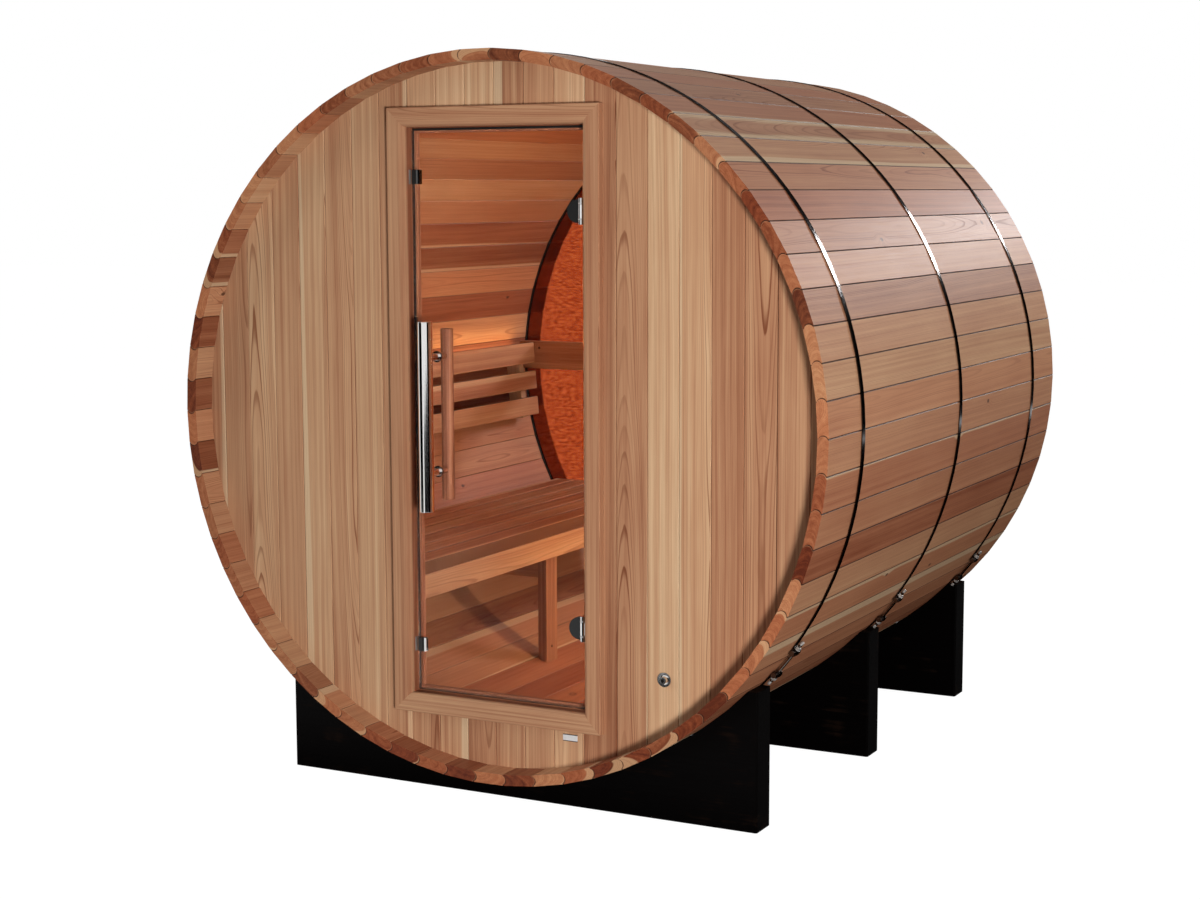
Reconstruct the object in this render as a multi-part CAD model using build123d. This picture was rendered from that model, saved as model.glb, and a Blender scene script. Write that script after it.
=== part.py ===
from build123d import *
import math
import os

os.makedirs("parts", exist_ok=True)

# Barrel sauna on three cradles. X runs across the barrel, the door faces -Y and Z is up.
# The origin is on the ground under the middle of the barrel. Sizes are in millimetres and degrees.

# Barrel of bead-and-cove staves
barrel_radius = 915.0
barrel_length = 1890.0
ground_clearance = 72.0
stave_count = 66
stave_thickness = 28.0
stave_joint_gap = 0.4
bead_rise = 8.0
bead_shoulder = 2.5
edge_ease = 1.5
first_joint_angle = 0.5
staves_in_group = 11

# Seating clearance between pieces that are fitted to each other
seat_gap = 0.3

# Front wall, let into a groove in the staves
wall_recess = 70.0
wall_thickness = 38.0
groove_depth = 8.0

# Steel hoops and their tensioners
hoop_width = 20.0
hoop_thickness = 2.0
hoop_from_front = {"front": 222.0, "middle": 971.0, "rear": 1664.0}
tensioner_angle = -38.5
tensioner_pin_spacing = 76.0
pin_radius = 7.0
pin_overhang = 5.0
side_nut_width = 13.0
side_nut_height = 7.0
rod_radius = 4.0
rod_length = 145.0
rod_slot_width = 10.0

# Cradles
cradle_from_front = {"front": 139.0, "middle": 916.0, "rear": 1693.0}
cradle_thickness = 82.0
cradle_top_angle = 44.0
cradle_shoulder_width = 26.0
cradle_edge_chamfer = 4.0
hoop_relief_side_gap = 1.0

# Door opening, its lining and trim
opening_width = 506.0
trim_below_staves = 52.9
trim_above_staves = 64.9
lining_thickness = 22.0
stop_width = 14.0
stop_thickness = 15.0
trim_width = 49.0
trim_thickness = 20.0
trim_lip_thickness = 8.0
trim_bevel_width = 20.0
trim_bevel_steepness = 3.0
trim_outer_round = 3.0

# Glass door leaf
glass_thickness = 8.0
glass_setback = 8.0
leaf_gap = 9.0
hinge_side_gap = 10.0

# Door hinges
hinge_pin_inset = 10.0
hinge_from_top = 209.0
hinge_from_bottom = 212.0
hinge_knuckle_radius = 7.0
hinge_pin_radius = 3.0
hinge_pin_clearance = 0.05
hinge_height = 64.0
hinge_middle_height = 32.0
hinge_leaf_thickness = 3.0
hinge_leaf_depth = 18.0
hinge_cap_thickness = 2.0
hinge_notch_gap = 2.0
clamp_height = 57.0
clamp_reach = 47.0
clamp_thickness = 5.0
clamp_pad = 0.3

# Door catches: a plate on the jamb, and a clip over the edge of the glass
catch_from_top = 124.0
catch_from_bottom = 125.0
catch_height = 36.0
catch_plate_thickness = 1.5
catch_plate_depth = 16.0
catch_clip_width = 26.0
catch_clip_wall = 1.5
catch_magnet_width = 13.0
catch_magnet_thickness = 4.0
catch_magnet_inset = 4.0

# Door handle
handle_from_opening = 76.0
tube_radius = 19.0
tube_wall = 2.0
tube_top = 246.0
tube_bottom = -235.0
tube_standoff = 37.0
grip_radius = 20.0
grip_top = 224.0
grip_bottom = -217.0
grip_standoff = 26.0
grip_end_chamfer = 3.0
standoff_heights = [155.0, -139.0]
standoff_radius = 10.0
standoff_ring_radius = 14.0
standoff_ring_thickness = 3.0
handle_bolt_radius = 5.0
handle_bolt_reach = 12.0
spacer_radius = 9.0

# Rear window: two half-round panes in a rubber channel, between two rails
pane_recess = 97.0
pane_thickness = 8.0
pane_split = 4.0
channel_wall = 3.0
channel_lip = 3.0
rail_top = 66.0
rail_bottom = -25.0
rail_thickness = 35.0
outer_rail_thickness = 26.0
outer_rail_margin = 8.0

# Bench along the left side
bench_top = -403.0
bench_slat_count = 6
bench_slat_width = 70.0
bench_slat_gap = 8.0
bench_slat_thickness = 38.0
bench_back_gap = 3.0
apron_height = 64.0
apron_thickness = 20.0
bearer_height = 130.0
bearer_thickness = 28.0
leg_width = 65.0
leg_thickness = 28.0
board_edge_round = 3.0

# Backrest above the bench, leaning back towards its top
backrest_top = 65.0
backrest_lean = 4.5
backrest_standoff = 59.5
backrest_slat_heights = [69.0, 60.0, 60.0]
backrest_slat_gap = 27.0
backrest_slat_thickness = 20.0
backrest_end_gap = 14.0
batten_width = 28.0
batten_end_distance = 45.0
batten_top_drop = 24.0
batten_tail = 6.0
light_strip_width = 12.0
light_strip_height = 10.0

# Cable outlet in the front wall
outlet_angle = -52.55
outlet_from_staves = 116.0
outlet_flange_radius = 18.0
outlet_flange_thickness = 3.0
outlet_dome_height = 9.0
outlet_dome_radius = 12.0
outlet_sleeve_radius = 9.0
outlet_bore_radius = 5.0

# Places worked out from the sizes above
axis_height = ground_clearance + barrel_radius
front_end = -barrel_length / 2
rear_end = barrel_length / 2
stave_pitch = 360.0 / stave_count
half_pitch = math.radians(stave_pitch / 2)
inner_corner_radius = barrel_radius - stave_thickness / math.cos(half_pitch)
inner_flat_radius = inner_corner_radius * math.cos(half_pitch)
groove_radius = inner_corner_radius + groove_depth
wall_radius = groove_radius - seat_gap
wall_front = front_end + wall_recess
wall_back = wall_front + wall_thickness
pane_back = rear_end - pane_recess
pane_front = pane_back - pane_thickness
channel_front = pane_front - channel_wall
channel_back = pane_back + channel_wall
hoop_inner_radius = barrel_radius + seat_gap
hoop_outer_radius = hoop_inner_radius + hoop_thickness
half_opening = opening_width / 2
trim_corner_height = math.sqrt(inner_flat_radius ** 2 - (half_opening + trim_width) ** 2)
opening_top = trim_corner_height - trim_below_staves - trim_width
opening_bottom = trim_above_staves + trim_width - trim_corner_height
hinge_heights = [opening_top - hinge_from_top, opening_bottom + hinge_from_bottom]
catch_heights = [opening_top - catch_from_top, opening_bottom + catch_from_bottom]
half_rough_opening = half_opening + lining_thickness
half_stop_opening = half_opening - stop_width
rough_top = opening_top + lining_thickness
rough_bottom = opening_bottom - lining_thickness
glass_front = wall_front + glass_setback
glass_back = glass_front + glass_thickness
stop_front = wall_back - stop_thickness
pivot_x = half_opening - hinge_pin_inset
pivot_y = wall_front
leaf_left = -half_opening + leaf_gap
leaf_right = half_opening - hinge_side_gap
handle_x = -half_opening + handle_from_opening
tube_y = glass_front - tube_standoff - tube_radius
grip_y = glass_back + grip_standoff + grip_radius
outlet_x = (inner_flat_radius - outlet_from_staves) * math.cos(math.radians(outlet_angle))
outlet_z = (inner_flat_radius - outlet_from_staves) * math.sin(math.radians(outlet_angle))
rail_front = channel_front - rail_thickness


def save(name, *solids):
    shape = Compound(children=list(solids)) if len(solids) > 1 else solids[0]
    export_step(shape, os.path.join("parts", name + ".step"))


def block(x0, x1, y0, y1, z0, z1):
    """A box between two corners, with its heights measured from the barrel's axis."""
    size = Box(abs(x1 - x0), abs(y1 - y0), abs(z1 - z0))
    return Pos((x0 + x1) / 2, (y0 + y1) / 2, axis_height + (z0 + z1) / 2) * size


def drum(radius, y0, y1):
    """A cylinder along the barrel's own axis."""
    place = Pos(0, (y0 + y1) / 2, axis_height) * Rot(X=90)
    return place * Cylinder(radius, y1 - y0)


def lying(radius, x, z, y0, y1):
    """A cylinder parallel to the barrel's axis, at a place in an end wall."""
    return Pos(x, (y0 + y1) / 2, axis_height + z) * Rot(X=90) * Cylinder(radius, y1 - y0)


def upright(radius, x, y, z0, z1):
    return Pos(x, y, axis_height + (z0 + z1) / 2) * Cylinder(radius, z1 - z0)


def around_barrel(shape, angle):
    """Turns a shape made on the +X side about the barrel's axis, positive from +X to +Z."""
    return Pos(0, 0, axis_height) * Rot(Y=-angle) * shape


# Staves. Each is a flat board with a round bead along one edge and a matching cove along
# the other, so that the ring closes round a curve with no gap showing.
def stave_profile():
    along = Vector(math.cos(half_pitch), math.sin(half_pitch))
    out = Vector(-math.sin(half_pitch), math.cos(half_pitch))
    back_along = Vector(along.X, -along.Y)
    back_out = Vector(out.X, -out.Y)
    middle = (barrel_radius + inner_corner_radius) / 2
    bead_inner = inner_corner_radius + bead_shoulder
    bead_outer = barrel_radius - bead_shoulder
    half_gap = stave_joint_gap / 2

    def bead_side(radius, rise=0.0):
        return along * radius + out * (rise - half_gap)

    def cove_side(radius, depth=0.0):
        return back_along * radius - back_out * (depth + half_gap)

    ease = Vector(0, edge_ease)
    outer_bead_corner = bead_side(barrel_radius) - ease
    outer_cove_corner = cove_side(barrel_radius) + ease
    inner_bead_corner = bead_side(inner_corner_radius) - ease
    inner_cove_corner = cove_side(inner_corner_radius) + ease
    bead = ThreePointArc(bead_side(bead_outer), bead_side(middle, bead_rise), bead_side(bead_inner))
    cove = ThreePointArc(cove_side(bead_inner), cove_side(middle, bead_rise), cove_side(bead_outer))
    edges = [
        Polyline(outer_bead_corner, bead_side(barrel_radius - edge_ease), bead @ 0),
        bead,
        Polyline(bead @ 1, bead_side(inner_corner_radius + edge_ease), inner_bead_corner),
        Line(inner_bead_corner, inner_cove_corner),
        Polyline(inner_cove_corner, cove_side(inner_corner_radius + edge_ease), cove @ 0),
        cove,
        Polyline(cove @ 1, cove_side(barrel_radius - edge_ease), outer_cove_corner),
        Line(outer_cove_corner, outer_bead_corner),
    ]
    return make_face(Curve() + edges)


def stave():
    blank = Pos(0, rear_end, 0) * Rot(X=90) * extrude(stave_profile(), barrel_length)
    for y0, y1 in ((wall_front, wall_back), (channel_front, channel_back)):
        groove = Rot(X=90) * Cylinder(groove_radius, y1 - y0 + 2 * seat_gap)
        blank -= Pos(0, (y0 + y1) / 2, 0) * groove
    return blank


stave_groups = [
    "staves_right_upper",
    "staves_roof",
    "staves_left_upper",
    "staves_left_lower",
    "staves_floor",
    "staves_right_lower",
]
one_stave = stave()
for group, name in enumerate(stave_groups):
    staves = []
    for index in range(group * staves_in_group, (group + 1) * staves_in_group):
        staves.append(around_barrel(one_stave, first_joint_angle + (index + 0.5) * stave_pitch))
    save(name, *staves)


# Hoops. Each end of the band is rolled into an eye, slotted for the tensioner's rod.
pin_centre_radius = hoop_outer_radius + pin_radius + seat_gap
eye_outer_radius = pin_radius + seat_gap + hoop_thickness
half_pin_angle = math.degrees(tensioner_pin_spacing / 2 / pin_centre_radius)


def hoop(y):
    band = drum(hoop_outer_radius, y - hoop_width / 2, y + hoop_width / 2)
    band -= drum(hoop_inner_radius, y - hoop_width, y + hoop_width)
    gap_angle = 2 * half_pin_angle
    reach = 2 * hoop_outer_radius * math.tan(math.radians(gap_angle / 2))
    gap = Pos(hoop_outer_radius, y, 0) * Box(hoop_outer_radius / 4, 2 * hoop_width, reach)
    band -= around_barrel(gap, tensioner_angle)
    for side in (-1, 1):
        centre = Pos(pin_centre_radius, y, 0) * Rot(X=90)
        eye = centre * Cylinder(eye_outer_radius, hoop_width)
        slot = Pos(pin_centre_radius, y, 0) * Box(2 * pin_radius, rod_slot_width, 4 * pin_radius)
        hole = centre * Cylinder(pin_radius + seat_gap, 2 * hoop_width)
        angle = tensioner_angle + side * half_pin_angle
        band += around_barrel(eye, angle)
        band -= around_barrel(hole, angle)
        band -= around_barrel(slot, angle)
    return band


def hoop_tensioner(y):
    rod = Pos(pin_centre_radius * math.cos(math.radians(half_pin_angle)), y, 0) * Cylinder(
        rod_radius, rod_length)
    body = around_barrel(rod, tensioner_angle)
    for side in (-1, 1):
        angle = tensioner_angle + side * half_pin_angle
        pin = Pos(pin_centre_radius, y, 0) * Rot(X=90) * Cylinder(
            pin_radius, hoop_width + 2 * pin_overhang)
        body += around_barrel(pin, angle)
        for face in (-1, 1):
            across = extrude(RegularPolygon(side_nut_width / 2, 6, major_radius=False), side_nut_height)
            start = y + face * (hoop_width / 2 + pin_overhang)
            nut = Pos(pin_centre_radius, start, 0) * Rot(X=-90 * face) * across
            body += around_barrel(nut, angle)
    return body


for place, distance in hoop_from_front.items():
    save("hoop_" + place, hoop(front_end + distance))
save("hoop_tensioners", *[hoop_tensioner(front_end + distance) for distance in hoop_from_front.values()])


# Cradles, cut to the barrel's curve, with a shallow relief where a hoop passes over them.
saddle_radius = barrel_radius + seat_gap
cradle_height = axis_height - saddle_radius * math.sin(math.radians(cradle_top_angle))
saddle_half_width = saddle_radius * math.cos(math.radians(cradle_top_angle))
cradle_half_width = saddle_half_width + cradle_shoulder_width


def cradle(y0):
    y1 = y0 + cradle_thickness
    plank = Pos(0, (y0 + y1) / 2, cradle_height / 2) * Box(
        2 * cradle_half_width, cradle_thickness, cradle_height)
    plank = chamfer(plank.edges().filter_by(Axis.Z), cradle_edge_chamfer)
    plank -= drum(saddle_radius, y0 - 1, y1 + 1)
    for distance in hoop_from_front.values():
        centre = front_end + distance
        half = hoop_width / 2 + hoop_relief_side_gap
        if centre + half > y0 and centre - half < y1:
            plank -= drum(hoop_outer_radius + seat_gap, centre - half, centre + half)
    return plank


for place, distance in cradle_from_front.items():
    save("cradle_" + place, cradle(front_end + distance))


# Front wall, in four pieces round the doorway.
def front_wall(x0, x1, z0, z1):
    return drum(wall_radius, wall_front, wall_back) & block(x0, x1, wall_front, wall_back, z0, z1)


right_wall = front_wall(half_rough_opening, wall_radius, -wall_radius, wall_radius)
right_wall -= lying(outlet_sleeve_radius + seat_gap, outlet_x, outlet_z, wall_front - 1, wall_back + 1)
save("front_wall_left", front_wall(-wall_radius, -half_rough_opening, -wall_radius, wall_radius))
save("front_wall_right", right_wall)
save("front_wall_over_door", front_wall(-half_rough_opening, half_rough_opening, rough_top, wall_radius))
save("front_wall_under_door",
     front_wall(-half_rough_opening, half_rough_opening, -wall_radius, rough_bottom))

# Door lining: two jambs between a head and a sill, each with a stop behind the glass.
def jamb(side):
    post = block(side * half_opening, side * half_rough_opening, wall_front, wall_back,
                 opening_bottom, opening_top)
    stop = block(side * half_stop_opening, side * half_opening, stop_front, wall_back,
                 opening_bottom, opening_top)
    return post + stop


def head_or_sill(edge, outward):
    board = block(-half_rough_opening, half_rough_opening, wall_front, wall_back,
                  edge, edge + outward * lining_thickness)
    stop = block(-half_stop_opening, half_stop_opening, stop_front, wall_back,
                 edge - outward * stop_width, edge)
    return board + stop


save("door_jamb_left", jamb(-1))
save("door_jamb_right", jamb(1))
save("door_head", head_or_sill(opening_top, 1))
save("door_sill", head_or_sill(opening_bottom, -1))


# Door trim: four mitred lengths of one moulding, with a rounded bevel towards the opening.
def trim_section():
    """Across the moulding: X from the opening outwards, Y from the wall forwards."""
    lip = (0, trim_lip_thickness)
    ridge = (trim_bevel_width, trim_thickness)
    shoulder = (trim_width - trim_outer_round, trim_thickness)
    edges = [
        Line((0, 0), lip),
        TangentArc(lip, ridge, tangent=(1, trim_bevel_steepness)),
        Line(ridge, shoulder),
        TangentArc(shoulder, (trim_width, trim_thickness - trim_outer_round), tangent=(1, 0)),
        Line((trim_width, trim_thickness - trim_outer_round), (trim_width, 0)),
        Line((trim_width, 0), (0, 0)),
    ]
    return make_face(Curve() + edges)


def trim_length(length, opening_length):
    """A length along Z with both ends cut at 45 degrees, its inner edge on the Z axis."""
    bar = Pos(0, 0, -length / 2) * extrude(trim_section(), length)
    for end in (-1, 1):
        cutter = Pos(0, 0, end * opening_length / 2) * Rot(Y=-45 * end) * Pos(0, 0, end * length / 2)
        bar -= cutter * Box(4 * length, 4 * trim_thickness, length)
    return bar


def trim_placed(bar, x, z, turn):
    """The front of a moulding faces -Y; turn spins it in the wall's plane."""
    return Pos(x, wall_front, axis_height + z) * Rot(Y=turn) * Rot(X=180) * bar


opening_height = opening_top - opening_bottom
opening_middle = (opening_top + opening_bottom) / 2
side_bar = trim_length(opening_height + 2 * trim_width, opening_height)
cross_bar = trim_length(opening_width + 2 * trim_width, opening_width)
save("trim_right", trim_placed(side_bar, half_opening, opening_middle, 0))
save("trim_left", trim_placed(side_bar, -half_opening, opening_middle, 180))
save("trim_top", trim_placed(cross_bar, 0, opening_top, -90))
save("trim_bottom", trim_placed(cross_bar, 0, opening_bottom, 90))


# Door leaf: one pane of clear glass, drilled for the handle.
def door_glass():
    pane = block(leaf_left, leaf_right, glass_front, glass_back,
                 opening_bottom + leaf_gap, opening_top - leaf_gap)
    for height in standoff_heights:
        pane -= lying(handle_bolt_radius + seat_gap, handle_x, height, glass_front - 1, glass_back + 1)
    return pane


save("door_glass", door_glass())


# Hinges. A leaf screwed to the jamb carries the middle knuckle and the pin, and two clamp
# plates grip the glass, the outer one carrying the end knuckles.
def hinge_leaf(height):
    half = hinge_middle_height / 2
    plate = block(half_opening - hinge_leaf_thickness, half_opening, pivot_y,
                  pivot_y + hinge_leaf_depth, height - half, height + half)
    web = block(pivot_x, half_opening, pivot_y - hinge_leaf_thickness, pivot_y + hinge_leaf_thickness,
                height - half, height + half)
    knuckle = upright(hinge_knuckle_radius, pivot_x, pivot_y, height - half, height + half)
    pin_half = hinge_height / 2 - hinge_cap_thickness - seat_gap
    pin = upright(hinge_pin_radius, pivot_x, pivot_y, height - pin_half, height + pin_half)
    return plate + web + knuckle + pin


def clamp_plate(height, x_end, y0, y1):
    """A plate with a half-round end towards the middle of the glass."""
    half = clamp_height / 2
    left = pivot_x + hinge_knuckle_radius - clamp_reach
    plate = lying(half, left + half, height, y0, y1)
    plate += block(left + half, barrel_radius, y0, y1, height - half, height + half)
    return plate & block(left, x_end, y0, y1, height - half, height + half)


def outer_clamp(height):
    back = glass_front - clamp_pad
    clamp = clamp_plate(height, pivot_x, back - clamp_thickness, back)
    notch_half = hinge_middle_height / 2 + seat_gap
    clamp -= block(pivot_x - hinge_knuckle_radius - hinge_notch_gap, half_opening,
                   pivot_y - hinge_knuckle_radius, glass_back, height - notch_half, height + notch_half)
    for end in (-1, 1):
        near = height + end * notch_half
        far = height + end * hinge_height / 2
        clamp += upright(hinge_knuckle_radius, pivot_x, pivot_y, min(near, far), max(near, far))
    bore_half = hinge_height / 2 - hinge_cap_thickness
    return clamp - upright(hinge_pin_radius + hinge_pin_clearance, pivot_x, pivot_y,
                           height - bore_half, height + bore_half)


def inner_clamp(height):
    front = glass_back + clamp_pad
    return clamp_plate(height, half_stop_opening - leaf_gap, front, front + clamp_thickness)


save("hinge_leaves", *[hinge_leaf(height) for height in hinge_heights])
save("hinge_clamps", *[clamp(height) for height in hinge_heights for clamp in (outer_clamp, inner_clamp)])


# Catches. A plate on the jamb faces a clip that grips the free edge of the glass and carries
# a magnet.
def catch_plate(height):
    half = catch_height / 2
    back = stop_front - seat_gap
    return block(-half_opening, -half_opening + catch_plate_thickness, back - catch_plate_depth, back,
                 height - half, height + half)


def catch_clip(height):
    half = catch_height / 2
    left = leaf_left - catch_clip_wall
    right = left + catch_clip_width
    clip = block(left, right, glass_front - catch_clip_wall, glass_back + catch_clip_wall,
                 height - half, height + half)
    clip -= block(leaf_left - clamp_pad, right, glass_front - clamp_pad, glass_back + clamp_pad,
                  height - half, height + half)
    magnet_left = left + catch_magnet_inset
    front = glass_front - catch_clip_wall
    return clip + block(magnet_left, magnet_left + catch_magnet_width, front - catch_magnet_thickness,
                        front, height - half, height + half)


save("catch_plates", *[catch_plate(height) for height in catch_heights])
save("catch_clips", *[catch_clip(height) for height in catch_heights])


# Handle: a steel tube outside on steel standoffs, and a turned wooden grip inside on wooden
# spacers, bolted together through the glass.
def handle_tube():
    tube = upright(tube_radius, handle_x, tube_y, tube_bottom, tube_top)
    bore = upright(tube_radius - tube_wall, handle_x, tube_y, tube_bottom + tube_wall, tube_top - tube_wall)
    return tube - bore


def handle_grip():
    grip = upright(grip_radius, handle_x, grip_y, grip_bottom, grip_top)
    return chamfer(grip.edges().filter_by(GeomType.CIRCLE), grip_end_chamfer)


def handle_standoff(height):
    front = glass_front - seat_gap
    body = lying(standoff_radius, handle_x, height, tube_y, front)
    body += lying(standoff_ring_radius, handle_x, height, front - standoff_ring_thickness, front)
    body += lying(handle_bolt_radius, handle_x, height, front, glass_back + handle_bolt_reach)
    return body - upright(tube_radius + seat_gap, handle_x, tube_y, tube_bottom, tube_top)


def grip_spacer(height):
    back = glass_back + seat_gap
    spacer = lying(spacer_radius, handle_x, height, back, grip_y)
    spacer -= lying(handle_bolt_radius + seat_gap, handle_x, height, back,
                    glass_back + handle_bolt_reach + seat_gap)
    return spacer - upright(grip_radius + seat_gap, handle_x, grip_y, grip_bottom, grip_top)


save("handle_tube", handle_tube())
save("handle_grip", handle_grip())
save("handle_standoffs", *[handle_standoff(height) for height in standoff_heights])
save("grip_spacers", *[grip_spacer(height) for height in standoff_heights])


# Rear window. The panes stand in a rubber channel in the staves' rear groove, and a rail on
# each side covers the joint between them.
channel_inner_radius = inner_flat_radius - channel_lip
pane_radius = wall_radius - channel_wall


def window_channel():
    channel = drum(wall_radius, channel_front, channel_back)
    channel -= drum(channel_inner_radius, channel_front - 1, channel_back + 1)
    return channel - drum(pane_radius + seat_gap, pane_front - seat_gap, pane_back + seat_gap)


def window_rail(near, far, z0, z1):
    """A rail with its far face on the glass and its ends cut to the staves and the channel."""
    toward = 1 if near > far else -1
    shoulder = far + toward * (channel_wall + seat_gap)
    ends = drum(inner_flat_radius - seat_gap, *sorted((near, shoulder)))
    tongue = drum(channel_inner_radius - seat_gap, *sorted((shoulder, far)))
    return (ends + tongue) & block(-barrel_radius, barrel_radius, near, far, z0, z1)


def window_pane(z0, z1):
    pane = drum(pane_radius, pane_front, pane_back)
    return pane & block(-barrel_radius, barrel_radius, pane_front, pane_back, z0, z1)


rail_middle = (rail_top + rail_bottom) / 2
save("window_channel", window_channel())
save("window_rail_inside", window_rail(rail_front, pane_front - seat_gap, rail_bottom, rail_top))
save("window_rail_outside",
     window_rail(pane_back + outer_rail_thickness, pane_back + seat_gap,
                 rail_bottom + outer_rail_margin, rail_top - outer_rail_margin))
save("window_pane_upper", window_pane(rail_middle + pane_split / 2, barrel_radius))
save("window_pane_lower", window_pane(-barrel_radius, rail_middle - pane_split / 2))


# Bench: slats along the barrel on three bearers cut to its curve, with an apron in front
# and one leg at mid length.
bench_near_end = wall_back + seat_gap
bench_far_end = channel_front - seat_gap
bench_middle = (bench_near_end + bench_far_end) / 2
slat_pitch = bench_slat_width + bench_slat_gap
slat_underside = bench_top - bench_slat_thickness
bench_back = bench_back_gap - math.sqrt(inner_flat_radius ** 2 - slat_underside ** 2)
bench_front = bench_back + bench_slat_count * slat_pitch - bench_slat_gap
apron_top = slat_underside - seat_gap
apron_back = bench_front - apron_thickness
leg_front = apron_back - seat_gap
leg_back = leg_front - leg_thickness
inside_barrel = drum(inner_flat_radius - seat_gap, front_end, rear_end)


def board(x0, x1, z0, z1):
    plank = block(x0, x1, bench_near_end, bench_far_end, z0, z1)
    return fillet(plank.edges().filter_by(Axis.Y), board_edge_round)


def bearer(y0, x_front):
    plank = block(-barrel_radius, x_front, y0, y0 + bearer_thickness, apron_top - bearer_height, apron_top)
    return plank & inside_barrel


def bench_leg():
    post = block(leg_back, leg_front, bench_middle - leg_width / 2, bench_middle + leg_width / 2,
                 -barrel_radius, apron_top)
    return post & inside_barrel


bench_slats = []
for index in range(bench_slat_count):
    front = bench_front - index * slat_pitch
    bench_slats.append(board(front - bench_slat_width, front, slat_underside, bench_top))
save("bench_slats", *bench_slats)
save("bench_apron", board(apron_back, bench_front, apron_top - apron_height, apron_top))
save("bench_bearers",
     bearer(bench_near_end, leg_front),
     bearer(bench_middle - bearer_thickness / 2, leg_back - seat_gap),
     bearer(bench_far_end - bearer_thickness, leg_front))
save("bench_leg", bench_leg())

# Backrest: three slats on battens that are cut to the staves, with a light strip on top.
backrest_near_end = wall_back + backrest_end_gap
backrest_far_end = rail_front - backrest_end_gap
backrest_face_x = backrest_standoff - math.sqrt(inner_flat_radius ** 2 - backrest_top ** 2)
backrest_height = sum(backrest_slat_heights) + backrest_slat_gap * (len(backrest_slat_heights) - 1)


def leaning(depth0, depth1, y0, y1, drop0, drop1):
    """A box measured from the top front edge of the backrest: back from its face and down it."""
    size = Box(depth1 - depth0, y1 - y0, drop1 - drop0)
    place = Pos(backrest_face_x, (y0 + y1) / 2, axis_height + backrest_top) * Rot(Y=-backrest_lean)
    return place * Pos(-(depth0 + depth1) / 2, 0, -(drop0 + drop1) / 2) * size


backrest_slats = []
drop = 0.0
for height in backrest_slat_heights:
    slat = leaning(0, backrest_slat_thickness, backrest_near_end, backrest_far_end, drop, drop + height)
    backrest_slats.append(fillet(slat.edges().filter_by(Axis.Y), board_edge_round))
    drop += height + backrest_slat_gap
save("backrest_slats", *backrest_slats)

batten_front = backrest_slat_thickness + seat_gap
batten_places = [
    backrest_near_end + batten_end_distance,
    (backrest_near_end + backrest_far_end - batten_width) / 2,
    backrest_far_end - batten_end_distance - batten_width,
]
backrest_battens = []
for y0 in batten_places:
    plank = leaning(batten_front, 2 * backrest_standoff, y0, y0 + batten_width,
                    batten_top_drop, backrest_height + batten_tail)
    backrest_battens.append(plank & inside_barrel)
save("backrest_battens", *backrest_battens)
save("light_strip", leaning(batten_front, batten_front + light_strip_width, batten_places[0],
                            batten_places[-1] + batten_width,
                            batten_top_drop - seat_gap - light_strip_height, batten_top_drop - seat_gap))


# Cable outlet: a domed cap on the wall, with a sleeve through the wall.
def cable_outlet():
    front = wall_front - seat_gap
    flange = lying(outlet_flange_radius, outlet_x, outlet_z, front - outlet_flange_thickness, front)
    dome_base = front - outlet_flange_thickness
    dome = Pos(outlet_x, dome_base, axis_height + outlet_z) * Rot(X=90) * Cone(
        outlet_dome_radius, outlet_sleeve_radius, outlet_dome_height,
        align=(Align.CENTER, Align.CENTER, Align.MIN))
    sleeve = lying(outlet_sleeve_radius, outlet_x, outlet_z, front, wall_back)
    bore = lying(outlet_bore_radius, outlet_x, outlet_z, front_end, wall_back + 1)
    return flange + dome + sleeve - bore


save("cable_outlet", cable_outlet())
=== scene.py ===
import bmesh
import bpy
import math
from mathutils import Matrix, Vector


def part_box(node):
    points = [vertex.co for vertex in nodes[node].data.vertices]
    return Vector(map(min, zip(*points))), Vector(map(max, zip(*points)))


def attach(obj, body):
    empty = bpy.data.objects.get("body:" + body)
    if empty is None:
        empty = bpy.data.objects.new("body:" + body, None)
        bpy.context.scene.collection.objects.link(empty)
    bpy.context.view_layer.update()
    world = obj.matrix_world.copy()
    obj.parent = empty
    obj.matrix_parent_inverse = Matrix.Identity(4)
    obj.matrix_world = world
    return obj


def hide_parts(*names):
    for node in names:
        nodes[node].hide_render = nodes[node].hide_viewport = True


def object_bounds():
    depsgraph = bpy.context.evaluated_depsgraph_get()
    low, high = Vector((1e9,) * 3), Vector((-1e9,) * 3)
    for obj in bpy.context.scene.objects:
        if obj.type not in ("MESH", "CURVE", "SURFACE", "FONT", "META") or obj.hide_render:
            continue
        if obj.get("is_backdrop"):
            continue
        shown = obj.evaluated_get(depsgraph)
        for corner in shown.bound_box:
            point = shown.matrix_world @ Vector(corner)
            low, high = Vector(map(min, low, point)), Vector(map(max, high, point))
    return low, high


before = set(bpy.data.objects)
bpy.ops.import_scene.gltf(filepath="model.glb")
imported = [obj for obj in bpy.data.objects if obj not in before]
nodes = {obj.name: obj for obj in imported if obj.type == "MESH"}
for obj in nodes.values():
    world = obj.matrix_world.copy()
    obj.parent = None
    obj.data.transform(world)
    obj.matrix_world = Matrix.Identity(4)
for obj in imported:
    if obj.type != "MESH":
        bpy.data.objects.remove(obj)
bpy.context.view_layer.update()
bpy.ops.object.select_all(action="DESELECT")


# Staves. Sixty-six softwood staves close into a tube, each with a round bead let into the cove
# of the next. They are machined from boards of mixed colour, planed smooth and oiled.
axis_height = 0.987
barrel_radius = 0.915
stave_thickness = 0.028
stave_count = 66
stave_turn = math.radians(360 / stave_count)
first_joint_turn = math.radians(0.5)
bead_rise = 0.008
bead_half_chord = 0.0115
inner_skin = -0.010
seam_edge, seam_core = 0.0028, 0.0010
arris_highlight_outside, arris_highlight_inside = (0.0046, 0.0032), (0.0016, 0.0028)
floor_knot = (-0.164, -0.170)
knot_squash = 0.62
knot_rim, knot_heart = (0.0115, 0.0085), (0.0045, 0.0065)


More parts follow.
